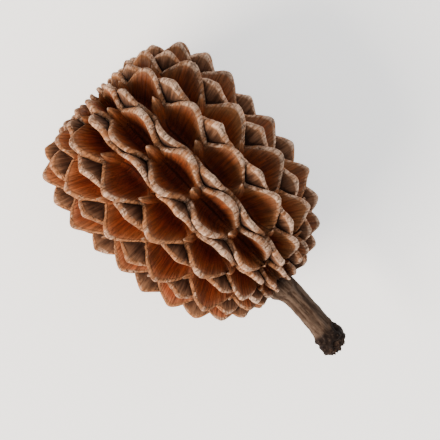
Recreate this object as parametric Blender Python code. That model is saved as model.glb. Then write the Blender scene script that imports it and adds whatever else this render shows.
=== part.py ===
"""Casuarina cone: a woody seed cone with its stalk, lying on its side. Metres, +Z up.

The cone grows along its own Z axis, from the stalk up to the apex. Sixteen columns of seed cells
run along it, each column half a cell ahead of the next. A place on the cone is an arc length along
the barrel's side, an angle round the axis, and a lift: 0 on the core and 1 on the barrel that the
valve tips reach.
"""

import math
import random

import bmesh
import bpy
from mathutils import Matrix, Vector

MM = 0.001

# The barrel that the valve tips reach, with a dimple at the apex. Lengths along the axis start at
# the middle of the cone
BASE_END = -8.1 * MM
APEX_END = 8.4 * MM
MAX_RADIUS = 6.8 * MM
WIDEST_AT = 2.7 * MM
APEX_POWER = 3.2
BASE_POWER = 2.75
DIMPLE_DEPTH = 0.5 * MM
DIMPLE_RADIUS = 2.0 * MM
OUTLINE_STEPS = 360

# The core under it, as shares of the barrel's radius and length, at its side and at its two poles
CORE_RADIUS = 0.60
CORE_LENGTH = 0.80
POLE_RADIUS = 0.90
BASE_POLE_LENGTH = 0.95
APEX_POLE_LENGTH = 0.90
POLE_BLEND = 0.55

# Whorls of eight cells, one row a whorl; rows crowd together where the barrel narrows
COLUMNS = 16
HALF_COLUMN = math.pi / COLUMNS
ROW_PITCH = 1.875 * MM
ROW_0_AT = 1.3 * MM
CROWDING = 0.6
BASE_END_RADIUS = 1.2 * MM
APEX_END_RADIUS = 0.7 * MM
FINE_RADIUS = 4.4 * MM
FINE_STATIONS = 4
COARSE_STATIONS = 2

# Valves: the two lips of each cell. Angles are shares of half a column
RIM_THICKNESS = 0.36 * MM
RIM_SPLIT = 0.03 * MM
RIM_WAVE = 0.26
RIM_DROP = 0.55
MOUTH_FLOOR = 0.42
MOUTH_END = 0.12

# Bracts: the small scale that closes each cell off from the next one of its column
BRACT_LIFT = 0.58
BRACT_START = 0.45
BRACT_POWER = 1.6

# Natural unevenness, seeded
SEED = 20
TIP_SPREAD = 0.08
RIDGE_SPREAD = 0.06
RIDGE_SWING = 0.9

# The stalk, from its blind end in the socket to the dark knob where it broke off
STALK_RADIUS = 0.66 * MM
STALK_END = -13.1 * MM
KNOB_AT = -12.15 * MM
KNOB_SWELL = 0.50
KNOB_LENGTH = 0.8 * MM
KNOB_ROUNDING = 0.6 * MM
KNOB_TIP = 0.5
STALK_BEND = 0.35 * MM
STALK_POINTS = 24
STALK_BEVEL = 3
SOCKET_FLOOR = -6.2 * MM
SOCKET_GAP = 0.12 * MM
SOCKET_SIDES = 20
CLEARANCE = 2 * MM

# How the cone lies: the middle of the whole length over the origin, the lowest valve tips worn flat
WHOLE_MIDDLE = -2.49 * MM
AXIS_HEIGHT = 6.32 * MM
GROUND_SIDE = 60 * MM
CREASE = math.radians(35)

# Finishes: colour and roughness
WOOD_BROWN = (0.19, 0.085, 0.042)
WOOD_ROUGHNESS = 0.72
BARK_GREY = (0.105, 0.062, 0.040)
BARK_ROUGHNESS = 0.85


def smoothstep(share):
    share = min(max(share, 0.0), 1.0)
    return share * share * (3.0 - 2.0 * share)


def mix(low, high, share):
    return low + (high - low) * share


def barrel_outline():
    """(axial, radius) along the barrel, from the base pole to the apex pole."""
    points = []
    for step in range(OUTLINE_STEPS + 1):
        turn = math.pi * step / OUTLINE_STEPS - math.pi / 2
        power = APEX_POWER if turn >= 0 else BASE_POWER
        end = APEX_END if turn >= 0 else BASE_END
        axial = WIDEST_AT + (end - WIDEST_AT) * abs(math.sin(turn)) ** (2 / power)
        radius = MAX_RADIUS * max(math.cos(turn), 0.0) ** (2 / power)
        if turn > 0:
            axial -= DIMPLE_DEPTH * math.exp(-((radius / DIMPLE_RADIUS) ** 2))
        points.append((axial, radius))
    return points


def arc_lengths(outline):
    arcs = [0.0]
    for (x0, r0), (x1, r1) in zip(outline, outline[1:]):
        arcs.append(arcs[-1] + math.hypot(x1 - x0, r1 - r0))
    return arcs


OUTLINE = barrel_outline()
ARCS = arc_lengths(OUTLINE)


def on_barrel(arc):
    """The barrel's (axial, radius) at an arc length from the base pole."""
    arc = min(max(arc, 0.0), ARCS[-1])
    after = max(1, next(i for i, a in enumerate(ARCS) if a >= arc))
    share = (arc - ARCS[after - 1]) / (ARCS[after] - ARCS[after - 1])
    (x0, r0), (x1, r1) = OUTLINE[after - 1], OUTLINE[after]
    return mix(x0, x1, share), mix(r0, r1, share)


def on_core(axial, radius):
    """The core's point under a point of the barrel."""
    away = smoothstep(radius / (POLE_BLEND * MAX_RADIUS))
    pole_length = APEX_POLE_LENGTH if axial > 0 else BASE_POLE_LENGTH
    return axial * mix(pole_length, CORE_LENGTH, away), radius * mix(POLE_RADIUS, CORE_RADIUS, away)


def cone_point(arc, angle, lift):
    axial, radius = on_barrel(arc)
    core_axial, core_radius = on_core(axial, radius)
    axial = mix(core_axial, axial, lift)
    radius = mix(core_radius, radius, lift)
    return Vector((radius * math.cos(angle), radius * math.sin(angle), axial))


def row_arcs():
    """Arc length of each whorl, keyed by its number."""
    rows = {0: next(a for a, (x, _) in zip(ARCS, OUTLINE) if x >= ROW_0_AT)}
    for way, end_radius in ((1, APEX_END_RADIUS), (-1, BASE_END_RADIUS)):
        row = 0
        arc = rows[0]
        while on_barrel(arc)[1] > end_radius and 0 < arc < ARCS[-1]:
            rows[row] = arc
            arc += way * ROW_PITCH * (on_barrel(arc)[1] / MAX_RADIUS) ** CROWDING
            row += way
    return rows


def stations(rows):
    """(phase, arc) of each ring of points; a whole phase is a whorl."""
    numbers = sorted(rows)
    found = []
    for row, following in zip(numbers, numbers[1:]):
        middle = on_barrel((rows[row] + rows[following]) / 2)[1]
        count = FINE_STATIONS if middle > FINE_RADIUS else COARSE_STATIONS
        for step in range(count):
            share = step / count
            found.append((row + share, mix(rows[row], rows[following], share)))
    found.append((numbers[-1], rows[numbers[-1]]))
    return found


class Growth:
    """The seeded unevenness of the cone: how far each valve reaches and how each ridge wanders."""

    def __init__(self, rows):
        rng = random.Random(SEED)
        low = min(rows) - 2
        high = max(rows) + 3
        self.tips = {
            (row, column, side): 1 - TIP_SPREAD * rng.random()
            for row in range(low, high)
            for column in range(COLUMNS)
            for side in (-1, 1)
        }
        self.swings = [rng.uniform(0, 2 * math.pi) for _ in range(COLUMNS)]

    def tip(self, phase, column, side):
        row = column % 2 + 2 * round((phase - column % 2) / 2)
        return self.tips[row, column, side]

    def wander(self, ridge, phase):
        return RIDGE_SPREAD * math.sin(RIDGE_SWING * phase + self.swings[ridge % COLUMNS])


def column_points(growth, column, phase, arc):
    """One column's six points at one station: rim, floor, floor, rim, in order of angle."""
    radius = on_barrel(arc)[1]
    v = (phase - column + 1) % 2 - 1
    floor = BRACT_LIFT * max((abs(v) - BRACT_START) / (1 - BRACT_START), 0.0) ** BRACT_POWER
    mouth = HALF_COLUMN * mix(MOUTH_END, MOUTH_FLOOR, math.cos(math.pi * v / 2))
    scale = (radius / MAX_RADIUS) ** CROWDING
    centre = 2 * HALF_COLUMN * column
    points = []
    for side in (-1, 1):
        top = growth.tip(phase, column, side) * (1 - RIM_DROP * abs(v))
        ridge = column if side > 0 else column - 1
        wander = side * growth.wander(ridge, phase)
        crest = HALF_COLUMN * (1 + wander + RIM_WAVE * math.cos(math.pi * v))
        outer = crest - RIM_SPLIT * scale / radius
        inner = crest - RIM_THICKNESS * scale / radius
        half = [(mouth, floor), (inner, top), (outer, top)]
        points += [cone_point(arc, centre + side * a, lift) for a, lift in half[::side]]
    return points


def closed_loft(rings):
    """A closed body through rings of points, ending in a flat face at each end."""
    body = bmesh.new()
    rings = [[body.verts.new(point) for point in ring] for ring in rings]
    for ring, following in zip(rings, rings[1:]):
        for i, corner in enumerate(ring):
            j = (i + 1) % len(ring)
            body.faces.new((corner, ring[j], following[j], following[i]))
    body.faces.new(rings[0][::-1])
    body.faces.new(rings[-1])
    bmesh.ops.triangulate(body, faces=body.faces)
    bmesh.ops.recalc_face_normals(body, faces=body.faces)
    return body


def cone_body():
    rows = row_arcs()
    growth = Growth(rows)
    rings = []
    for phase, arc in stations(rows):
        ring = []
        for column in range(COLUMNS):
            ring += column_points(growth, column, phase, arc)
        rings.append(ring)
    return closed_loft(rings)


def finished(name, colour, roughness):
    """A woody material."""
    material = bpy.data.materials.new(name)
    material.use_nodes = True
    shader = material.node_tree.nodes["Principled BSDF"]
    shader.inputs["Base Color"].default_value = (*colour, 1.0)
    shader.inputs["Roughness"].default_value = roughness
    shader.inputs["Metallic"].default_value = 0.0
    return material


def cut_away(made, cutter, helpers):
    """Takes the cutter's shape out of the object."""
    cutter.hide_render = True
    cutter.display_type = "WIRE"
    for holder in list(cutter.users_collection):
        holder.objects.unlink(cutter)
    helpers.objects.link(cutter)
    cut = made.modifiers.new(cutter.name, "BOOLEAN")
    cut.operation = "DIFFERENCE"
    cut.object = cutter
    cut.solver = "MANIFOLD"


def make_cone(parts, helpers, placed):
    """The seed cone: valves and bracts on their core, worn flat where it rests, with the stalk's socket."""
    mesh = bpy.data.meshes.new("cone")
    body = cone_body()
    body.to_mesh(mesh)
    body.free()
    cone = bpy.data.objects.new("cone", mesh)
    parts.objects.link(cone)
    cone.matrix_world = placed
    mesh.shade_smooth()
    mesh.set_sharp_from_angle(angle=CREASE)
    mesh.materials.append(finished("brown_wood", WOOD_BROWN, WOOD_ROUGHNESS))

    length = SOCKET_FLOOR - BASE_END + CLEARANCE
    middle = SOCKET_FLOOR - length / 2
    bpy.ops.mesh.primitive_cylinder_add(
        vertices=SOCKET_SIDES, radius=STALK_RADIUS + SOCKET_GAP, depth=length
    )
    socket = bpy.context.object
    socket.name = "socket_cutter"
    socket.matrix_world = placed @ Matrix.Translation((0, 0, middle))
    cut_away(cone, socket, helpers)

    bpy.ops.mesh.primitive_cube_add(size=GROUND_SIDE)
    ground = bpy.context.object
    ground.name = "ground_cutter"
    ground.location = (0, 0, -GROUND_SIDE / 2)
    cut_away(cone, ground, helpers)


def make_stalk(parts, placed):
    """The stalk: a thin woody twig, a little bent, that ends in the dark knob where it broke off."""
    curve = bpy.data.curves.new("stalk", "CURVE")
    curve.dimensions = "3D"
    curve.bevel_depth = STALK_RADIUS
    curve.bevel_resolution = STALK_BEVEL
    curve.use_fill_caps = True
    spline = curve.splines.new("POLY")
    spline.points.add(STALK_POINTS - 1)
    start = SOCKET_FLOOR - SOCKET_GAP
    for step, point in enumerate(spline.points):
        axial = mix(start, STALK_END, step / (STALK_POINTS - 1))
        outside = max(BASE_END - axial, 0.0) / (BASE_END - STALK_END)
        knob = math.exp(-(((axial - KNOB_AT) / KNOB_LENGTH) ** 2))
        from_end = min((axial - STALK_END) / KNOB_ROUNDING, 1.0)
        rounding = mix(KNOB_TIP, 1.0, math.sqrt(1 - (1 - from_end) ** 2))
        point.co = (STALK_BEND / 2 * outside**2, STALK_BEND * outside**2, axial, 1.0)
        point.radius = (1 + KNOB_SWELL * knob) * rounding
    stalk = bpy.data.objects.new("stalk", curve)
    parts.objects.link(stalk)
    stalk.matrix_world = placed
    curve.materials.append(finished("grey_bark", BARK_GREY, BARK_ROUGHNESS))


def main():
    for old in list(bpy.data.objects):
        bpy.data.objects.remove(old, do_unlink=True)
    parts = bpy.data.collections.new("casuarina_cone")
    helpers = bpy.data.collections.new("cutters")
    for collection in (parts, helpers):
        bpy.context.scene.collection.children.link(collection)
    turned = Matrix.Rotation(math.pi / 2, 4, "Y")
    placed = Matrix.Translation((-WHOLE_MIDDLE, 0, AXIS_HEIGHT)) @ turned
    make_cone(parts, helpers, placed)
    make_stalk(parts, placed)


main()
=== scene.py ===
"""A dry casuarina cone, open and empty, lying on its side on a pale table.

The cone's surface is one sheet of rings, wrapped round the cone's own axis. Sixteen columns of seed
cells run along it, each column half a cell ahead of the next. A place on it is an arc length along
the barrel's side, an angle round the axis, and a lift: 0 on the core and 1 on the barrel that the
valve tips reach. A phase counts whorls: it is whole on a whorl and grows towards the apex.
"""

import math
import random
from typing import NamedTuple

import bpy
import numpy as np
from mathutils import Matrix, Vector, noise


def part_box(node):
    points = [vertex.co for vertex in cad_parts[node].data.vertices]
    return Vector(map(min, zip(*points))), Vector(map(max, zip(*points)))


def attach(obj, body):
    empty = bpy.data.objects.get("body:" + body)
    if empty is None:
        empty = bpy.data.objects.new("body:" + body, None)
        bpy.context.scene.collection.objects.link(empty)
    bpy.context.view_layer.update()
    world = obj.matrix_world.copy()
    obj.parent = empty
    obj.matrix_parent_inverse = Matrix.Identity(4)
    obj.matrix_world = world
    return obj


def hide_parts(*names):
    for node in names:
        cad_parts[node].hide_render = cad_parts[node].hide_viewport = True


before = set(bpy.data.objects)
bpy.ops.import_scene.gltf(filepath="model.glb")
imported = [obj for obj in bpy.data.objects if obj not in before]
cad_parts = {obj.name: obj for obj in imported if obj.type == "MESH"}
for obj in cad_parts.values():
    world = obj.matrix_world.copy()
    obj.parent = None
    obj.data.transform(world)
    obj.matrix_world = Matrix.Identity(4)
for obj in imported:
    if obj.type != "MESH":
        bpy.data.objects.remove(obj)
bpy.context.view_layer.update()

MM = 0.001
TURN = 2 * math.pi

# The barrel and the core under it, as the solids have them
BASE_END = -8.1 * MM
APEX_END = 8.4 * MM
MAX_RADIUS = 6.8 * MM
WIDEST_AT = 2.7 * MM
APEX_POWER = 3.2
BASE_POWER = 2.75
DIMPLE_DEPTH = 0.5 * MM
DIMPLE_RADIUS = 2.0 * MM
OUTLINE_STEPS = 360
CORE_RADIUS = 0.60
CORE_LENGTH = 0.80
POLE_RADIUS = 0.90
BASE_POLE_LENGTH = 0.95
APEX_POLE_LENGTH = 0.90
POLE_BLEND = 0.55

# Whorls of cells
COLUMNS = 16
HALF_COLUMN = math.pi / COLUMNS
ROW_PITCH = 1.875 * MM
ROW_0_AT = 1.3 * MM
CROWDING = 0.6
BASE_END_RADIUS = 1.2 * MM
APEX_END_RADIUS = 0.7 * MM

# Valves: the two lips of each cell
RIM_THICKNESS = 0.34 * MM
RIM_SPLIT = 0.03 * MM
RIM_WAVE = 0.26
RIM_DROP = 0.55
RIM_POWER = 1.2
TIP_ROUNDING = 0.05
RIM_ROUNDING = 0.05
RIM_SHOULDER = 0.08
GROOVE_DEPTH = 0.12
MOUTH_FLOOR = 0.42
MOUTH_END = 0.12
FLOOR_DISH = 0.3
HOLLOWING = 0.16
WALL_POWER = 1.15
OUTER_SLOPE = 0.20 * MM
OUTER_POWER = 0.8
OUTER_STARTS = 3
LEAN = 0.16 * MM
GAPE_SPREAD = 0.5
WEAR = 0.035
WEAR_PER_ROW = 3.1
WEAR_COLUMN_STRIDE = 7.3
WEAR_SIDE_STRIDE = 3.1
WEAR_SLICE = 0.5

# The saddle between two cells of a column, and the bract that stands on it
SADDLE_LIFT = 0.58
SADDLE_START = 0.45
SADDLE_POWER = 1.6
BRACT_ROOT = 0.04
BRACT_TIP = 0.76
BRACT_TIP_SPREAD = 0.14
BRACT_START = -0.30
BRACT_REACH = 0.60
BRACT_REACH_SPREAD = 0.22
BRACT_ARCH = 0.55
BRACT_LEAN = 0.7
BRACT_HALF_WIDTH = 0.60 * MM
BRACT_TAPER = 1.6
BRACT_TAPER_POWER = 0.85
BRACT_HALF_THICKNESS = 0.10 * MM
BRACT_ROOT_THINNESS = 0.15
BRACT_SWELLS_BY = 0.55
BRACT_THINNING = 0.6
BRACT_KEEL = 1.3
BRACT_KEEL_POWER = 8
BRACT_FOLD = 0.55
BRACT_SLANT = 0.15
BRACT_FRAY = 0.30
FRAY_STRIDES = (4, 3.7, 5.1)
BRACT_RINGS = 20
BRACT_SIDES = 22

# Natural unevenness: the same draws, in the same order, as the solids, and then a few of its own
SEED = 20
TIP_SPREAD = 0.08
RIDGE_SPREAD = 0.06
RIDGE_SWING = 0.9

# The stalk
STALK_RADIUS = 0.66 * MM
STALK_START = -6.32 * MM
STALK_END = -13.1 * MM
KNOB_AT = -12.15 * MM
KNOB_SWELL = 0.50
KNOB_LENGTH = 0.8 * MM
KNOB_ROUNDING = 0.6 * MM
KNOB_TIP = 0.5
STALK_BEND = 0.35 * MM
COLLAR_AT = -7.95 * MM
COLLAR_SWELL = 0.60
COLLAR_LENGTH = 0.50 * MM
STALK_RIBS = 9
RIB_DEPTH = 0.045
STALK_RINGS = 110
STALK_SIDES = 54
TORN_RINGS = 7
TORN_DEPTH = 0.25 * MM
TORN_REACH = 0.34 * MM
TORN_FIBRE = 0.2 * MM
KNOB_SHRINK = 0.12 * MM
CRAG_HEIGHT = 0.15 * MM
CRAG_PITCH = 0.55 * MM
CRAG_OFFSET = 9.0
CRAG_SHARPNESS = 3

# How the cone lies
WHOLE_MIDDLE = -2.49 * MM
AXIS_HEIGHT = 6.32 * MM

# How finely the cone's sheet is drawn
RINGS_PER_ROW = 14
RINGS_PER_SMALL_ROW = 8
SMALL_ROW_RADIUS = 4.4 * MM
FLOOR_STEPS = 2
WALL_STEPS = 7
RIM_STEPS = 4
OUTER_STEPS = 2


class Relief(NamedTuple):
    """Smooth noise that lifts a surface. The offset picks another part of the noise."""

    height: float
    pitch: float
    offset: float = 0.0


CONE_RELIEF = (Relief(0.055 * MM, 1.1 * MM), Relief(0.022 * MM, 0.4 * MM, 5.0))
BRACT_RELIEF = (Relief(0.035 * MM, 0.32 * MM), Relief(0.025 * MM, 0.13 * MM))
STALK_RELIEF = (Relief(0.05 * MM, 0.8 * MM), Relief(0.03 * MM, 0.3 * MM, 3.0))
KNOB_RELIEF = (Relief(0.16 * MM, 0.3 * MM, 6.0),)

# Fibres across the rims, in mm, and what keeps the grain of neighbouring valves apart
FIBRE_HEIGHT = 0.020 * MM
FIBRE_ACROSS = 0.42
FIBRE_ALONG = 2.0
SIDE_STRIDE = 2.0
COLUMN_STRIDE = 9.0


def smoothstep(low, high, value):
    share = np.clip((value - low) / (high - low), 0.0, 1.0)
    return share * share * (3.0 - 2.0 * share)


def mix(low, high, share):
    return low + (high - low) * share


def barrel_outline():
    """Axial places and radii along the barrel, from the base pole to the apex pole."""
    turn = np.pi * np.arange(OUTLINE_STEPS + 1) / OUTLINE_STEPS - np.pi / 2
    power = np.where(turn >= 0, APEX_POWER, BASE_POWER)
    end = np.where(turn >= 0, APEX_END, BASE_END)
    axial = WIDEST_AT + (end - WIDEST_AT) * np.abs(np.sin(turn)) ** (2 / power)
    radius = MAX_RADIUS * np.maximum(np.cos(turn), 0.0) ** (2 / power)
    axial -= np.where(turn > 0, DIMPLE_DEPTH * np.exp(-((radius / DIMPLE_RADIUS) ** 2)), 0.0)
    return axial, radius


OUTLINE = barrel_outline()
ARCS = np.concatenate([[0.0], np.cumsum(np.hypot(*(np.diff(line) for line in OUTLINE)))])


def on_barrel(arc):
    return np.interp(arc, ARCS, OUTLINE[0]), np.interp(arc, ARCS, OUTLINE[1])


def on_core(axial, radius):
    away = smoothstep(0.0, POLE_BLEND * MAX_RADIUS, radius)
    pole_length = np.where(axial > 0, APEX_POLE_LENGTH, BASE_POLE_LENGTH)
    return axial * mix(pole_length, CORE_LENGTH, away), radius * mix(POLE_RADIUS, CORE_RADIUS, away)


def cone_points(arc, angle, lift):
    """Places as the cone lies, in an array that ends in x, y, z."""
    axial, radius = on_barrel(arc)
    core_axial, core_radius = on_core(axial, radius)
    axial = mix(core_axial, axial, lift)
    radius = mix(core_radius, radius, lift)
    height = AXIS_HEIGHT - radius * np.cos(angle)
    return np.stack([axial - WHOLE_MIDDLE, radius * np.sin(angle), height], axis=-1)


def wall_height(arc):
    """How far the barrel stands off the core."""
    axial, radius = on_barrel(arc)
    core_axial, core_radius = on_core(axial, radius)
    return np.hypot(axial - core_axial, radius - core_radius)


def row_arcs():
    start = ARCS[np.argmax(OUTLINE[0] >= ROW_0_AT)]
    rows = {0: start}
    for way, end_radius in ((1, APEX_END_RADIUS), (-1, BASE_END_RADIUS)):
        row = 0
        arc = start
        while on_barrel(arc)[1] > end_radius and 0 < arc < ARCS[-1]:
            rows[row] = arc
            arc += way * ROW_PITCH * (on_barrel(arc)[1] / MAX_RADIUS) ** CROWDING
            row += way
    return rows


ROWS = row_arcs()
ROW_NUMBERS = sorted(ROWS)


def arc_at(phase):
    return np.interp(phase, ROW_NUMBERS, [ROWS[row] for row in ROW_NUMBERS])


def ring_phases():
    phases = []
    for row, following in zip(ROW_NUMBERS, ROW_NUMBERS[1:]):
        small = on_barrel((ROWS[row] + ROWS[following]) / 2)[1] < SMALL_ROW_RADIUS
        count = RINGS_PER_SMALL_ROW if small else RINGS_PER_ROW
        phases += [row + step / count for step in range(count)]
    return np.array(phases + [ROW_NUMBERS[-1]], dtype=float)


class Growth:
    """The seeded unevenness of the cone."""

    def __init__(self):
        rng = random.Random(SEED)
        self.low = ROW_NUMBERS[0] - 2
        rows = ROW_NUMBERS[-1] + 3 - self.low

        def table(draw):
            return np.array([draw() for _ in range(rows * COLUMNS * 2)]).reshape(rows, COLUMNS, 2)

        self.tips = table(lambda: 1 - TIP_SPREAD * rng.random())
        self.swings = [rng.uniform(0, TURN) for _ in range(COLUMNS)]
        self.tones = table(rng.random)
        self.leans = table(lambda: rng.uniform(-1, 1))
        self.gapes = table(rng.random)

    def of_cell(self, table, phase, column, side):
        row = column % 2 + 2 * np.round((phase - column % 2) / 2).astype(int)
        return table[row - self.low, column, (side + 1) // 2]

    def wander(self, ridge, phase):
        return RIDGE_SPREAD * np.sin(RIDGE_SWING * phase + self.swings[ridge % COLUMNS])


GROWTH = Growth()


def along_cell(phase, column):
    """Where a phase falls in this column's cell: 0 at its middle, -1 and 1 at its ends."""
    return (phase - column + 1) % 2 - 1


def crest_turn(phase, column, side):
    """The angle from a column's middle to its ridge on one side."""
    ridge = column if side > 0 else column - 1
    wave = RIM_WAVE * np.cos(np.pi * along_cell(phase, column))
    return HALF_COLUMN * (1 + side * GROWTH.wander(ridge, phase) + wave)


def valve_top(phase, column, side):
    """The lift of a valve's rim, highest at the middle of its cell."""
    v = along_cell(phase, column)
    reach = np.sqrt(v**2 + TIP_ROUNDING**2) - TIP_ROUNDING
    seat = WEAR_COLUMN_STRIDE * column + WEAR_SIDE_STRIDE * side
    worn = np.array([noise.noise(Vector((p * WEAR_PER_ROW, seat, WEAR_SLICE))) for p in phase])
    tip = GROWTH.of_cell(GROWTH.tips, phase, column, side)
    return tip * (1 - RIM_DROP * reach**RIM_POWER) - WEAR * (0.5 + worn)


def half_column(phase, arc, column, side):
    """Strands of one half of a column, from its middle out to its ridge.

    Each strand holds angle, lift, rise, rim and outer. Rise is 1 on the rim and 0 at the bottom of
    the mouth and of the groove. Rim and outer are 1 on the rim and on the valve's outer face. The
    lifts of the rim and of the groove's bottom come with the strands.
    """
    radius = on_barrel(arc)[1]
    turn_per_length = (radius / MAX_RADIUS) ** CROWDING / radius
    v = along_cell(phase, column)
    near_end = np.maximum((np.abs(v) - SADDLE_START) / (1 - SADDLE_START), 0.0)
    saddle = SADDLE_LIFT * near_end**SADDLE_POWER
    mouth = HALF_COLUMN * mix(MOUTH_END, MOUTH_FLOOR, np.cos(np.pi * v / 2))

    top = valve_top(phase, column, side)
    other = valve_top(phase, (column + side) % COLUMNS, -side)
    proud = np.clip((top - other) / RIM_DROP, 0.0, 1.0)
    groove = np.minimum(top, other) - GROOVE_DEPTH
    split = crest_turn(phase, column, side) - RIM_SPLIT * turn_per_length
    lean = LEAN * GROWTH.of_cell(GROWTH.leans, phase, column, side)
    outer = split - (OUTER_SLOPE - lean) * proud * turn_per_length
    gape = 1 + GAPE_SPREAD * GROWTH.of_cell(GROWTH.gapes, phase, column, side)
    inner = outer - RIM_THICKNESS * gape * turn_per_length

    strands = []
    for step in range(FLOOR_STEPS):
        share = step / FLOOR_STEPS
        strands.append((mouth * share, saddle * (1 - FLOOR_DISH * share**2), 0.0, 0.0, 0.0))
    for step in range(WALL_STEPS):
        share = step / WALL_STEPS
        angle = mix(mouth, inner, share + HOLLOWING * math.sin(math.pi * share))
        lift = mix(saddle * (1 - FLOOR_DISH), top - RIM_ROUNDING, share**WALL_POWER)
        strands.append((angle, lift, share, 0.0, 0.0))
    for step in range(RIM_STEPS + 1):
        share = step / RIM_STEPS
        arch = math.sin(math.pi * mix(RIM_SHOULDER, 1 - RIM_SHOULDER, share))
        lift = top - RIM_ROUNDING * (1 - arch)
        strands.append((mix(inner, outer, share), lift, 1.0, 1.0, share**OUTER_STARTS))
    for step in range(1, OUTER_STEPS + 1):
        share = step / (OUTER_STEPS + 1)
        angle = mix(outer, split, share**OUTER_POWER)
        strands.append((angle, mix(top - RIM_ROUNDING, groove, share), 1 - share, 0.0, 1.0))
    fields = [np.stack(np.broadcast_arrays(*strand, phase)[:-1], axis=-1) for strand in strands]
    return np.stack(fields, axis=1), top, groove


def cone_sheet():
    """Every ring's points, and what each point is part of, by name."""
    phases = ring_phases()
    arcs = arc_at(phases)
    strands = []
    marks = {"top": [], "tone": [], "tip": [], "across": []}
    for column in range(COLUMNS):
        centre = 2 * HALF_COLUMN * column
        left, left_top, _ = half_column(phases, arcs, column, -1)
        right, right_top, groove = half_column(phases, arcs, column, 1)
        left = left[:, ::-1].copy()
        left[..., 0] = centre - left[..., 0]
        right = right[:, 1:].copy()
        right[..., 0] = centre + right[..., 0]
        v = along_cell(phases, column)
        crest = centre + crest_turn(phases, column, 1)
        bottom = np.stack(np.broadcast_arrays(crest, groove, 0.0, 0.0, 1.0), axis=-1)[:, None]
        for side, part, top in ((-1, left, left_top), (1, right, right_top), (1, bottom, right_top)):
            strands.append(part)
            tone = GROWTH.of_cell(GROWTH.tones, phases, column, side)
            across = v + SIDE_STRIDE * side + COLUMN_STRIDE * column
            for name, values in zip(marks, (top, tone, 1 - np.abs(v), across)):
                marks[name].append(np.repeat(values[:, None], part.shape[1], axis=1))
    angle, lift, rise, rim, outer = np.moveaxis(np.concatenate(strands, axis=1), -1, 0)
    top, tone, tip, across = (np.concatenate(parts, axis=1) for parts in marks.values())
    spread = np.repeat(arcs[:, None], lift.shape[1], axis=1)
    return {
        "place": cone_points(spread, angle, lift),
        "depth": (top - lift) * wall_height(spread) / MM,
        "rise": rise,
        "rim": rim,
        "outer": outer,
        "tone": tone,
        "tip": tip,
        "across": across * ROW_PITCH / MM,
        "along": lift * wall_height(spread) / MM,
    }


def closed_tube(rings):
    """The corners and faces of a surface through rings of points, closed by a fan at each end.

    The faces look out where each ring's points run anticlockwise, seen from the last ring.
    """
    count, around, _ = rings.shape
    ends = np.stack([rings[0].mean(axis=0), rings[-1].mean(axis=0)])
    corners = np.concatenate([rings.reshape(-1, 3), ends])
    index = np.arange(count * around).reshape(count, around)
    beside = np.roll(index, -1, axis=1)
    quads = np.stack([index[:-1], beside[:-1], beside[1:], index[1:]], axis=-1).reshape(-1, 4)
    base = np.full(around, count * around)
    faces = quads.tolist()
    faces += np.stack([beside[0], index[0], base], axis=-1).tolist()
    faces += np.stack([index[-1], beside[-1], base + 1], axis=-1).tolist()
    return corners, faces


def new_piece(name, corners, faces):
    mesh = bpy.data.meshes.new(name)
    mesh.from_pydata(corners.tolist(), [], faces)
    mesh.validate()
    mesh.shade_smooth()
    piece = bpy.data.objects.new(name, mesh)
    bpy.context.scene.collection.objects.link(piece)
    return piece


def mark(piece, name, values):
    """Keeps one number for each point, for the material to read; the two end points take 0."""
    layer = piece.data.attributes.new(name, "FLOAT", "POINT")
    flat = np.zeros(len(piece.data.vertices), dtype=np.float32)
    flat[: values.size] = values.ravel()
    layer.data.foreach_set("value", flat)


def roughen(piece, heights, node):
    """Moves each point along its normal, and keeps it inside the node's box."""
    count = len(piece.data.vertices)
    normals = np.zeros(count * 3)
    places = np.zeros(count * 3)
    piece.data.vertices.foreach_get("normal", normals)
    piece.data.vertices.foreach_get("co", places)
    places = places.reshape(-1, 3) + normals.reshape(-1, 3) * heights[:, None]
    low, high = (np.array(corner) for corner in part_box(node))
    places = np.clip(places, low, high)
    piece.data.vertices.foreach_set("co", places.ravel())
    piece.data.update()


def lumps(places, pitch, offset):
    """Smooth noise about 0, with a given wavelength."""
    shift = Vector((offset, offset, offset))
    return np.array([noise.noise(Vector(place) / pitch + shift) for place in places])


def lift_by(places, reliefs):
    return sum(relief.height * lumps(places, relief.pitch, relief.offset) for relief in reliefs)


def make_cone():
    """The whole woody cone in one sheet, its lowest tips worn flat where it rests on them."""
    sheet = cone_sheet()
    places = sheet.pop("place")
    places[..., 2] = np.maximum(places[..., 2], 0.0)
    corners, faces = closed_tube(places)
    cone = new_piece("woody_cone", corners, faces)
    grain = np.stack([sheet["across"].ravel() / FIBRE_ACROSS, sheet["along"].ravel() / FIBRE_ALONG], axis=-1)
    grain = np.concatenate([grain, np.zeros((2, 2))])
    fibres = np.array([noise.noise(Vector((a, b, 0.0))) for a, b in grain])
    roughen(cone, lift_by(corners, CONE_RELIEF) + FIBRE_HEIGHT * fibres, "cone")
    for name, values in sheet.items():
        mark(cone, name, values)
    return cone


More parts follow.
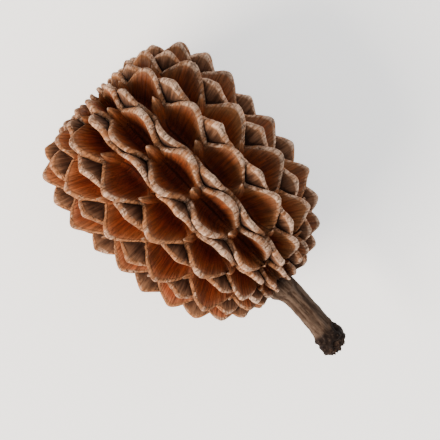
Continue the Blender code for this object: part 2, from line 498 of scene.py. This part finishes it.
def bract_rings(row, column, rng):
    """Rings up one bract, from its root, which is sunk in the saddle, to its tip.

    It is folded along its middle like the bow of a boat, with a keel down its outer face.
    """
    steps = np.linspace(0.0, 1.0, BRACT_RINGS)
    turns = -TURN * np.arange(BRACT_SIDES) / BRACT_SIDES
    size = (on_barrel(ROWS[row])[1] / MAX_RADIUS) ** CROWDING
    slant = rng.uniform(-BRACT_SLANT, BRACT_SLANT) * HALF_COLUMN
    reach = BRACT_REACH * (1 - BRACT_REACH_SPREAD * rng.random())
    tip = mix(BRACT_ROOT, BRACT_TIP, rng.uniform(1 - BRACT_TIP_SPREAD, 1.0))
    seats = [np.array((step, row, column)) * FRAY_STRIDES for step in steps]
    frayed = 1 + BRACT_FRAY * np.array([noise.noise(Vector(seat)) for seat in seats]) * steps
    taper = np.maximum(1 - steps**BRACT_TAPER, 0.0) ** BRACT_TAPER_POWER
    half_width = (BRACT_HALF_WIDTH * size * taper * frayed)[:, None]
    swelling = mix(BRACT_ROOT_THINNESS, 1.0, smoothstep(0.0, BRACT_SWELLS_BY, steps))
    half_thick = (BRACT_HALF_THICKNESS * size * swelling * (1 - BRACT_THINNING * steps))[:, None]
    arc = arc_at(row + BRACT_START + reach * steps)[:, None]
    lift = mix(BRACT_ROOT, tip, steps**BRACT_ARCH)[:, None]
    keel = BRACT_KEEL * np.maximum(np.sin(turns), 0.0) ** BRACT_KEEL_POWER
    outward = half_thick * (np.sin(turns) + keel) - BRACT_FOLD * half_width * np.cos(turns) ** 2
    radius = on_barrel(arc)[1] * mix(CORE_RADIUS, 1.0, lift)
    angle = 2 * HALF_COLUMN * column + half_width * np.cos(turns) / radius + slant * steps[:, None]
    leaning = BRACT_LEAN * outward
    return cone_points(arc - leaning, angle, lift + leaning / wall_height(arc))


def make_bracts():
    """The small pointed scales, one between each two cells of a column, leaning towards the apex."""
    corners = []
    faces = []
    tones = []
    rng = random.Random(SEED + 1)
    for column in range(COLUMNS):
        for row in ROW_NUMBERS[1:-1]:
            if (row - column) % 2 == 0:
                continue
            made_corners, made_faces = closed_tube(bract_rings(row, column, rng))
            start = len(tones)
            corners.append(made_corners)
            faces += [[start + corner for corner in face] for face in made_faces]
            tones += [rng.random()] * len(made_corners)
    bracts_made = len(corners)
    corners = np.concatenate(corners)
    bracts = new_piece("bract_scales", corners, faces)
    roughen(bracts, lift_by(corners, BRACT_RELIEF), "cone")
    rise = np.append(np.repeat(np.linspace(0.0, 1.0, BRACT_RINGS), BRACT_SIDES), [0.0, 1.0])
    side = np.append(np.tile(np.cos(TURN * np.arange(BRACT_SIDES) / BRACT_SIDES), BRACT_RINGS), [0.0, 0.0])
    mark(bracts, "rise", np.tile(rise, bracts_made))
    mark(bracts, "side", np.tile(side, bracts_made))
    mark(bracts, "tone", np.array(tones))
    return bracts


def stalk_rings():
    """Each ring's axial place and radius, and how far it belongs to the knob and to the torn end."""
    share = np.linspace(0.0, 1.0, STALK_RINGS)
    axial = mix(STALK_START, STALK_END, share)
    knob = np.exp(-(((axial - KNOB_AT) / KNOB_LENGTH) ** 2))
    collar = np.exp(-(((axial - COLLAR_AT) / COLLAR_LENGTH) ** 2))
    from_end = np.clip((axial - STALK_END) / KNOB_ROUNDING, 0.0, 1.0)
    rounding = mix(KNOB_TIP, 1.0, np.sqrt(1 - (1 - from_end) ** 2))
    radius = STALK_RADIUS * (1 + KNOB_SWELL * knob + COLLAR_SWELL * collar) * rounding

    # The torn end closes in towards its middle, where it is hollowed
    closing = 1 - np.arange(1, TORN_RINGS + 1) / (TORN_RINGS + 1)
    axial = np.append(axial, STALK_END + TORN_DEPTH * (1 - closing**2))
    radius = np.append(radius, radius[-1] * closing)
    knob = np.append(knob, np.ones(TORN_RINGS))
    torn = np.append((1 - from_end) ** 2, np.ones(TORN_RINGS))
    return axial, radius, knob, torn


def make_stalk():
    """The stalk: a ribbed twig that flares into the cone's base and ends in a torn knob."""
    axial, radius, knob, torn = stalk_rings()
    outside = np.maximum(BASE_END - axial, 0.0) / (BASE_END - STALK_END)
    turns = -TURN * np.arange(STALK_SIDES) / STALK_SIDES
    wide = radius[:, None] * (1 + RIB_DEPTH * np.cos(STALK_RIBS * turns) * (1 - knob[:, None]))
    x = np.repeat((axial - WHOLE_MIDDLE)[:, None], STALK_SIDES, axis=1)
    y = STALK_BEND * outside[:, None] ** 2 + wide * np.sin(turns)
    z = AXIS_HEIGHT - STALK_BEND / 2 * outside[:, None] ** 2 - wide * np.cos(turns)
    corners, faces = closed_tube(np.stack([x, y, z], axis=-1))

    def per_point(values):
        """Each ring's value for all its points, and the first's and last's for the two end points."""
        return np.append(np.repeat(values, STALK_SIDES), [values[0], values[-1]])

    fibres = np.array([noise.noise(Vector((0.0, y, z)) / TORN_FIBRE) for _, y, z in corners])
    corners[:, 0] += TORN_REACH * per_point(torn) * (0.5 + fibres)
    stalk = new_piece("woody_stalk", corners, faces)
    crags = CRAG_HEIGHT * (0.5 - np.abs(lumps(corners, CRAG_PITCH, CRAG_OFFSET)) * CRAG_SHARPNESS)
    knobbly = crags + lift_by(corners, KNOB_RELIEF) - KNOB_SHRINK
    roughen(stalk, lift_by(corners, STALK_RELIEF) + per_point(knob) * knobbly, "stalk")
    mark(stalk, "knob", per_point(np.where(axial < KNOB_AT, 1.0, knob)))
    mark(stalk, "torn", per_point(torn))
    mark(stalk, "turn", np.tile(np.cos(STALK_RIBS * turns), len(axial)))
    return stalk


# Where a Mix node has its factor and its colours
MIX_FACTOR = 0
MIX_LOW = 6
MIX_HIGH = 7
MIX_RESULT = 2


class Shade:
    """A value that varies over a surface, with arithmetic."""

    def __init__(self, finish, socket):
        self.finish = finish
        self.socket = socket

    def maths(self, operation, *values):
        return self.finish.node("ShaderNodeMath", {"operation": operation}, dict(enumerate(values)))

    def __add__(self, other):
        return self.maths("ADD", self, other)

    def __sub__(self, other):
        return self.maths("SUBTRACT", self, other)

    def __rsub__(self, other):
        return self.maths("SUBTRACT", other, self)

    def __mul__(self, other):
        return self.maths("MULTIPLY", self, other)

    def __abs__(self):
        return self.maths("ABSOLUTE", self)

    __radd__ = __add__
    __rmul__ = __mul__


class Grain(NamedTuple):
    """Noise of a wavelength in mm."""

    pitch: float
    detail: float = 3.0
    rough: float = 0.55


class Fibres(NamedTuple):
    """Noise drawn out along the wood: how closely it repeats each way, and how far a tone shifts it."""

    across: float
    along: float
    shift: float
    detail: float
    rough: float


class Coat(NamedTuple):
    """A colour that sets in over a measure, from nothing at start to its strength at full."""

    colour: tuple
    start: float
    full: float
    strength: float = 1.0
    ragged: float = 0.0


class Finish:
    """One material, being mixed."""

    def __init__(self, name):
        self.material = bpy.data.materials.new(name)
        self.material.use_nodes = True
        self.tree = self.material.node_tree
        self.shader = self.tree.nodes["Principled BSDF"]

    def node(self, kind, settings=None, sockets=None, output=0):
        made = self.tree.nodes.new(kind)
        for setting, value in (settings or {}).items():
            setattr(made, setting, value)
        for socket, value in (sockets or {}).items():
            self.feed(made.inputs[socket], value)
        return Shade(self, made.outputs[output])

    def feed(self, socket, value):
        if isinstance(value, Shade):
            self.tree.links.new(value.socket, socket)
        else:
            socket.default_value = value

    def numbers(self, *names):
        """The numbers that the mesh keeps for each point."""
        kind = "ShaderNodeAttribute"
        return [self.node(kind, {"attribute_name": name}, output="Fac") for name in names]

    def vector(self, x, y, z):
        return self.node("ShaderNodeCombineXYZ", None, {"X": x, "Y": y, "Z": z})

    def vector_maths(self, operation, sockets):
        return self.node("ShaderNodeVectorMath", {"operation": operation}, sockets)

    def place(self):
        """Object coordinates in millimetres."""
        where = self.node("ShaderNodeTexCoord", output="Object")
        return self.vector_maths("SCALE", {0: where, "Scale": 1 / MM})

    def grain(self, where, grain):
        """Noise from 0 to 1, about 0.5."""
        sockets = {
            "Vector": where,
            "Scale": 1 / grain.pitch,
            "Detail": grain.detail,
            "Roughness": grain.rough,
        }
        return self.node("ShaderNodeTexNoise", None, sockets, output="Fac")

    def fibres(self, across, along, tone, fibres):
        """Grain that runs along the wood. The tone gives each valve or bract its own."""
        where = self.vector(across * fibres.across, along * fibres.along, tone * fibres.shift)
        return self.grain(where, Grain(1.0, fibres.detail, fibres.rough))

    def cells(self, where, pitch, warp):
        """Distance to the nearest edge in a mesh of warped cells of a given width."""
        drift = self.node("ShaderNodeTexNoise", None, {"Vector": where, "Scale": 1 / pitch}, output="Color")
        drift = self.vector_maths("SCALE", {0: drift, "Scale": warp})
        sockets = {"Vector": self.vector_maths("ADD", {0: where, 1: drift}), "Scale": 1 / pitch}
        return self.node("ShaderNodeTexVoronoi", {"feature": "DISTANCE_TO_EDGE"}, sockets, output="Distance")

    def step(self, value, start, full):
        """0 at start and 1 at full, smooth between; start may be the larger."""
        sockets = {"Value": value, "From Min": start, "From Max": full}
        return self.node("ShaderNodeMapRange", {"interpolation_type": "SMOOTHSTEP"}, sockets)

    def ragged(self, value, grain, by):
        """A value whose contours wander with the grain."""
        return value + (grain - 0.5) * by

    def blend(self, factor, low, high, kind="MIX"):
        """Two colours, mixed."""
        settings = {"data_type": "RGBA", "blend_type": kind}
        sockets = {MIX_FACTOR: factor, MIX_LOW: rgba(low), MIX_HIGH: rgba(high)}
        return self.node("ShaderNodeMix", settings, sockets, output=MIX_RESULT)

    def coat(self, under, coat, measure, grain=None, where=1.0):
        """Puts a coat over a colour. The grain makes its edge ragged; where says how much of it is kept."""
        if grain is not None:
            measure = self.ragged(measure, grain, coat.ragged)
        cover = self.step(measure, coat.start, coat.full) * coat.strength * where
        return self.blend(cover, under, coat.colour)

    def darken(self, under, shade):
        """A colour, times a number that varies."""
        return self.blend(1.0, under, self.vector(shade, shade, shade), "MULTIPLY")

    def bump(self, height, distance):
        return self.node("ShaderNodeBump", None, {"Height": height, "Distance": distance, "Strength": 1.0})

    def set(self, **sockets):
        for name, value in sockets.items():
            self.feed(self.shader.inputs[name.replace("_", " ")], value)
        return self.material


def rgba(value):
    """A plain colour with its alpha; anything else as it is."""
    return (*value, 1.0) if isinstance(value, tuple) else value


# Colours of the dry wood
# Painted shade for the depths of the mouths
MOUTH_PAINTED_SHADE = (0.105, 0.012, 0.001)
CHESTNUT = (0.195, 0.036, 0.006)
RUSSET = (0.220, 0.070, 0.026)
DARK_RED = (0.085, 0.019, 0.006)
LIP = (0.275, 0.120, 0.056)
GOLDEN = (0.27, 0.115, 0.038)
TAN = (0.305, 0.124, 0.050)
# Pale of the rims and tips: partly wear, partly a painted highlight
WORN_AND_HIGHLIGHT_PALE = (0.60, 0.400, 0.280)
OLD_BROWN = (0.068, 0.025, 0.010)
GREY_BROWN = (0.148, 0.066, 0.034)
HUSK_GREY = (0.200, 0.093, 0.046)
# Painted shade for the bottoms of the grooves between valves
GROOVE_PAINTED_SHADE = (0.030, 0.008, 0.002)
STALK_BROWN = (0.030, 0.015, 0.008)
STALK_GREY = (0.090, 0.058, 0.040)
KNOB_BLACK = (0.008, 0.0035, 0.002)
TORN_WOOD = (0.060, 0.030, 0.016)

# Grain of the cone's wood. Below, a pair of numbers is where a step starts and where it is full
CONE_FIBRE = Fibres(across=3.4, along=0.4, shift=9, detail=2.5, rough=0.5)
FINE_FIBRE = Fibres(across=7.5, along=0.5, shift=5, detail=2.0, rough=0.5)
RIM_STREAK = Fibres(across=7, along=1.4, shift=7, detail=4.0, rough=0.7)
BLOTCH = Grain(2.4, 2.0)
CONE_PATCH = Grain(0.75)
CONE_SPECK = Grain(0.16, 2.0, 0.7)

# The linings of the mouths: painted shade by depth below the rim in mm, darker the deeper and near black at
# the bottom; and then by the fibres
DEEP_PAINTED_SHADE_COAT = Coat(MOUTH_PAINTED_SHADE, 1.2, 2.5, ragged=0.8)
SHALLOW_COAT = Coat(RUSSET, 1.45, 0.15, ragged=0.9)
LIP_COAT = Coat(LIP, 0.75, 0.05, 0.75, ragged=1.6)
DARK_FIBRE_COAT = Coat(DARK_RED, 0.50, 0.36, 0.65)
VEIN = (0.022, 0.0)
VEIN_STRENGTH = 0.45
GOLDEN_COAT = Coat(GOLDEN, 0.50, 0.78, 0.5)
GOLDEN_DEPTH = (1.6, 0.2)
GOLDEN_TONE = 0.25

# Painted light: the side of the cone towards the key lamp is painted redder and brighter, and its rims less
# pale. Its edge is given in mm along y
PAINTED_LIT_SIDE_TINT = (1.30, 1.06, 0.98)
PAINTED_LIT_SIDE_EDGE = (-0.5, 5.0)
PAINTED_LIT_SIDE_RAGGED = 6

# The valves' outer faces, by the fibres and then by the rise from the groove, with painted shade darkening
# them towards the groove's bottom
BACK_FIBRE_COAT = Coat(GREY_BROWN, 0.38, 0.62)
BACK_HUSK_COAT = Coat(HUSK_GREY, 0.55, 0.95, 0.7, ragged=0.5)
BACK_GROOVE_PAINTED_SHADE_COAT = Coat(GROOVE_PAINTED_SHADE, 0.75, 0.1)

# The rims: tan wood, pale in patches and most of all at the tips, partly from wear and partly a painted
# highlight, with a few cracks
EDGE = (0.55, 1.0)
TAN_STRENGTH = 0.9
WORN_AND_HIGHLIGHT_COAT = Coat(WORN_AND_HIGHLIGHT_PALE, 0.56, 0.77, 0.9)
WEAR_BY_PATCH = 0.5
WEAR_BY_STREAK = 0.5
WEAR_BY_SPECK = 0.15
WEAR_AND_HIGHLIGHT_AT_TIP = 0.14
# Less pale on the rims of the side with painted light
LESS_PALE_ON_PAINTED_LIT_SIDE = 0.10
CRACK_PITCH = 0.55
CRACK_WARP = 0.45
CRACK_WIDTH = (0.08, 0.01)
CRACK_PATCHES = (0.38, 0.55)
CRACK_STRENGTH = 0.5

# Light and dark: dust, fine fibres, and each valve's own tone
DUST_SPECKS = (0.35, 0.6)
DUST_LEVEL = 0.8
DUST_ON_RIM = 0.25
DUST_ELSEWHERE = 0.08
FINE_FIBRE_BAND = (0.36, 0.64)
FINE_FIBRE_SHADE = 0.42
DARKEST_FIBRE = 0.72
TONE_SHADE = 0.35
DARKEST_TONE = 0.82

# Bump and roughness. Fibres stand out most; the mouths' depths and the outside are dull
CONE_BUMP = 0.12 * MM
FINE_FIBRE_RELIEF = 0.6
SPECK_RELIEF = 0.3
STREAK_RELIEF = 0.35
CRACK_RELIEF = 0.4
VEIN_RELIEF = 0.2
MOUTH_DULLS = (0.6, 1.8)
MOUTH_DULLNESS = 0.6
DULL_BAND = (0.0, 0.6)
DULL_ROUGHNESS = 0.38
FIBRE_ROUGHNESS = 0.2
LEAST_ROUGHNESS = 0.42
CONE_SPECULAR = 0.24


def cone_wood():
    finish = Finish("cone_wood")
    depth, rise, rim, outer = finish.numbers("depth", "rise", "rim", "outer")
    tone, tip, across, along = finish.numbers("tone", "tip", "across", "along")
    where = finish.place()
    fibre = finish.fibres(across, along, tone, CONE_FIBRE)
    fine_fibre = finish.fibres(across, along, tone, FINE_FIBRE)
    rim_streak = finish.fibres(across, along, tone, RIM_STREAK)
    blotch = finish.grain(where, BLOTCH)
    patch = finish.grain(where, CONE_PATCH)
    speck = finish.grain(where, CONE_SPECK)
    edge = finish.step(rim, *EDGE)
    sideways = finish.node("ShaderNodeSeparateXYZ", None, {"Vector": where}, output="Y")
    # Painted light: the side of the cone towards the key lamp, with a ragged edge
    painted_lit_side = finish.step(finish.ragged(sideways, blotch, PAINTED_LIT_SIDE_RAGGED), *PAINTED_LIT_SIDE_EDGE)

    # Painted shade: the lining darkens with depth below the rim, near black at the bottom of each mouth
    lining = finish.coat(CHESTNUT, DEEP_PAINTED_SHADE_COAT, depth, fibre)
    lining = finish.coat(lining, SHALLOW_COAT, depth, fibre)
    lining = finish.coat(lining, LIP_COAT, depth, fibre)
    lining = finish.coat(lining, DARK_FIBRE_COAT, fibre)
    veins = finish.step(abs(fibre - 0.5), *VEIN)
    lining = finish.blend(veins * VEIN_STRENGTH, lining, DARK_RED)
    shallow = finish.step(depth, *GOLDEN_DEPTH)
    lining = finish.coat(lining, GOLDEN_COAT, blotch + tone * GOLDEN_TONE, where=shallow)
    # Painted light: the linings on the side towards the key lamp are made redder and brighter
    lining = finish.blend(painted_lit_side, lining, finish.blend(1.0, lining, PAINTED_LIT_SIDE_TINT, "MULTIPLY"))

    back = finish.coat(OLD_BROWN, BACK_FIBRE_COAT, fibre)
    back = finish.coat(back, BACK_HUSK_COAT, rise, fibre)
    # Painted shade: darker towards the bottom of the groove
    back = finish.coat(back, BACK_GROOVE_PAINTED_SHADE_COAT, rise)

    wood = finish.blend(outer, lining, back)
    wood = finish.blend(edge * TAN_STRENGTH, wood, TAN)
    # Pale on the rims: partly wear, partly a painted highlight, strongest at the tips
    wear_and_highlight = patch * WEAR_BY_PATCH + rim_streak * WEAR_BY_STREAK + speck * WEAR_BY_SPECK
    wear_and_highlight = wear_and_highlight + tip * WEAR_AND_HIGHLIGHT_AT_TIP - painted_lit_side * LESS_PALE_ON_PAINTED_LIT_SIDE
    wood = finish.coat(wood, WORN_AND_HIGHLIGHT_COAT, wear_and_highlight, where=edge)
    cracks = finish.step(finish.cells(where, CRACK_PITCH, CRACK_WARP), *CRACK_WIDTH)
    cracks = cracks * edge * finish.step(patch, *CRACK_PATCHES)
    wood = finish.blend(cracks * CRACK_STRENGTH, wood, OLD_BROWN)

    dust = (finish.step(speck, *DUST_SPECKS) - DUST_LEVEL) * (edge * DUST_ON_RIM + DUST_ELSEWHERE)
    shade = finish.step(fine_fibre, *FINE_FIBRE_BAND) * FINE_FIBRE_SHADE + dust + DARKEST_FIBRE
    wood = finish.darken(wood, shade * (tone * TONE_SHADE + DARKEST_TONE))

    height = fibre + fine_fibre * FINE_FIBRE_RELIEF
    height = height + edge * (speck * SPECK_RELIEF + rim_streak * STREAK_RELIEF)
    height = height - cracks * CRACK_RELIEF - veins * VEIN_RELIEF
    dull = finish.step(rim + outer + finish.step(depth, *MOUTH_DULLS) * MOUTH_DULLNESS, *DULL_BAND)
    return finish.set(
        Base_Color=wood,
        Roughness=(1 - fine_fibre) * FIBRE_ROUGHNESS + dull * DULL_ROUGHNESS + LEAST_ROUGHNESS,
        Normal=finish.bump(height, CONE_BUMP),
        Specular_IOR_Level=CONE_SPECULAR,
    )


# The bracts, by the rise from root to tip
BRACT_FIBRE = Fibres(across=4.5, along=1.6, shift=40, detail=4.0, rough=0.6)
BRACT_SPECK = Grain(0.14, 2.0, 0.7)
BRACT_PATCH = Grain(0.6)
BRACT_FIBRE_COAT = Coat(RUSSET, 0.36, 0.64)
BRACT_ROOT_COAT = Coat(CHESTNUT, 0.70, 0.30, 0.75, ragged=0.3)
BRACT_TAN_COAT = Coat(TAN, 0.50, 0.95, 0.8, ragged=0.5)
BRACT_WORN_AND_HIGHLIGHT_COAT = Coat(WORN_AND_HIGHLIGHT_PALE, 0.84, 1.02, 0.8, ragged=0.4)
BRACT_WORN_SPECKS = 0.5
BRACT_SPECK_COAT = Coat(OLD_BROWN, 0.48, 0.66, 0.5)
BRACT_TONE_SHADE = 0.4
BRACT_FIBRE_BAND = (0.3, 0.7)
BRACT_FIBRE_SHADE = 0.3
BRACT_DARKEST = 0.6
BRACT_BUMP = 0.06 * MM
BRACT_SPECK_RELIEF = 0.5
BRACT_ROUGHNESS = 0.9
BRACT_SPECULAR = 0.12


def bract_wood():
    finish = Finish("bract_wood")
    rise, side, tone = finish.numbers("rise", "side", "tone")
    where = finish.place()
    fibre = finish.fibres(side, rise, tone, BRACT_FIBRE)
    speck = finish.grain(where, BRACT_SPECK)
    patch = finish.grain(where, BRACT_PATCH)
    wood = finish.coat(OLD_BROWN, BRACT_FIBRE_COAT, fibre)
    wood = finish.coat(wood, BRACT_ROOT_COAT, rise, fibre)
    wood = finish.coat(wood, BRACT_TAN_COAT, rise, patch)
    # Pale tips: partly wear, partly a painted highlight
    wood = finish.coat(wood, BRACT_WORN_AND_HIGHLIGHT_COAT, finish.ragged(rise, speck, BRACT_WORN_SPECKS), fibre)
    wood = finish.coat(wood, BRACT_SPECK_COAT, speck)
    shade = tone * BRACT_TONE_SHADE + finish.step(fibre, *BRACT_FIBRE_BAND) * BRACT_FIBRE_SHADE
    return finish.set(
        Base_Color=finish.darken(wood, shade + BRACT_DARKEST),
        Roughness=BRACT_ROUGHNESS,
        Normal=finish.bump(fibre + speck * BRACT_SPECK_RELIEF, BRACT_BUMP),
        Specular_IOR_Level=BRACT_SPECULAR,
    )


# The stalk's bark: streaks along it, a blackened knob and torn wood at its end
BARK_STRETCH = (0.8, 5.0, 5.0)
BARK_STREAK = Grain(1.0, 4.0, 0.6)
BARK_SPECK = Grain(0.16, 3.0, 0.65)
BARK_PATCH = Grain(1.3, 2.0)
BARK_BY_RIB = 0.08
STREAK_COAT = Coat(STALK_GREY, 0.36, 0.62)
PATCH_COAT = Coat(STALK_BROWN, 0.45, 0.7, 0.6)
BLACK_COAT = Coat(KNOB_BLACK, 0.25, 0.75, ragged=0.6)
BARK_SPECK_COAT = Coat(STALK_GREY, 0.52, 0.72, 0.4)
TORN_COAT = Coat(TORN_WOOD, 0.42, 0.62)
BARK_BUMP = 0.06 * MM
BARK_STREAK_RELIEF = 0.7
BARK_SPECK_RELIEF = 0.5
BARK_ROUGHNESS = 0.85
BARK_SPECULAR = 0.15


def stalk_bark():
    finish = Finish("stalk_bark")
    knob, torn, turn = finish.numbers("knob", "torn", "turn")
    where = finish.place()
    streak = finish.grain(finish.vector_maths("MULTIPLY", {0: where, 1: BARK_STRETCH}), BARK_STREAK)
    speck = finish.grain(where, BARK_SPECK)
    patch = finish.grain(where, BARK_PATCH)
    bark = finish.coat(STALK_BROWN, STREAK_COAT, streak + turn * BARK_BY_RIB)
    bark = finish.coat(bark, PATCH_COAT, patch)
    bark = finish.coat(bark, BLACK_COAT, knob, patch)
    bark = finish.coat(bark, BARK_SPECK_COAT, speck)
    bark = finish.coat(bark, TORN_COAT, speck, where=torn)
    return finish.set(
        Base_Color=bark,
        Roughness=BARK_ROUGHNESS,
        Normal=finish.bump(streak * BARK_STREAK_RELIEF + speck * BARK_SPECK_RELIEF, BARK_BUMP),
        Specular_IOR_Level=BARK_SPECULAR,
    )


def dress(piece, material, slot, *nodes):
    piece.data.materials.append(material)
    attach(piece, "root")
    if nodes:
        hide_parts(*nodes)


# The view: straight down, with the apex towards the upper left
LENS = 250
SENSOR = 36
FIELD = 26.2 * MM
NEAREST = 0.01
FURTHEST = 10
ROLL = math.radians(134.4)
RIGHT = Vector((math.cos(ROLL), -math.sin(ROLL), 0.0))
UP = Vector((math.sin(ROLL), math.cos(ROLL), 0.0))

# The table, which glows a little to stay pale, and the daylight
TABLE_SIDE = 2.0
TABLE_COLOUR = (0.9, 0.9, 0.89)
TABLE_ROUGHNESS = 0.6
TABLE_GLOW = 0.9
WHITE = (1.0, 1.0, 1.0)
DAYLIGHT = 0.87


class Light(NamedTuple):
    """A soft square light. It comes from so far right, up and towards the camera in the picture."""

    watts: float
    side: float
    tint: tuple
    source: tuple


LIGHT_DISTANCE = 0.4
KEY = Light(3.9, 0.22, (1.0, 0.87, 0.73), (-0.75, -0.5, 0.65))
FILL = Light(0.15, 0.3, (0.86, 0.93, 1.0), (0.8, 0.5, 0.7))


def make_camera():
    data = bpy.data.cameras.new("camera")
    data.lens = LENS
    data.sensor_width = SENSOR
    data.clip_start = NEAREST
    data.clip_end = FURTHEST
    camera = bpy.data.objects.new("camera", data)
    bpy.context.scene.collection.objects.link(camera)
    distance = FIELD * LENS / SENSOR
    turned = Matrix(((RIGHT.x, UP.x, 0, 0), (RIGHT.y, UP.y, 0, 0), (0, 0, 1, 0), (0, 0, 0, 1)))
    camera.matrix_world = Matrix.Translation((0, 0, AXIS_HEIGHT + distance)) @ turned
    bpy.context.scene.camera = camera


def make_light(name, light):
    data = bpy.data.lights.new(name, "AREA")
    data.energy = light.watts
    data.size = light.side
    data.color = light.tint
    lamp = bpy.data.objects.new(name, data)
    bpy.context.scene.collection.objects.link(lamp)
    right, up, out = light.source
    toward = (RIGHT * right + UP * up + Vector((0, 0, out))).normalized()
    facing = toward.to_track_quat("Z", "Y").to_matrix().to_4x4()
    lamp.matrix_world = Matrix.Translation(toward * LIGHT_DISTANCE) @ facing


def make_studio():
    bpy.ops.mesh.primitive_plane_add(size=TABLE_SIDE)
    table = bpy.context.object
    table.name = "table"
    pale = Finish("pale_table")
    pale.set(Base_Color=rgba(TABLE_COLOUR), Roughness=TABLE_ROUGHNESS)
    table.data.materials.append(pale.set(Emission_Color=rgba(WHITE), Emission_Strength=TABLE_GLOW))
    world = bpy.data.worlds.new("studio")
    bpy.context.scene.world = world
    world.use_nodes = True
    daylight = world.node_tree.nodes["Background"]
    daylight.inputs["Color"].default_value = rgba(WHITE)
    daylight.inputs["Strength"].default_value = DAYLIGHT
    make_light("key", KEY)
    make_light("fill", FILL)


dress(make_cone(), cone_wood(), "cone_wood", "cone")
dress(make_bracts(), bract_wood(), "cone_wood")
dress(make_stalk(), stalk_bark(), "stalk_bark", "stalk")
make_camera()
make_studio()
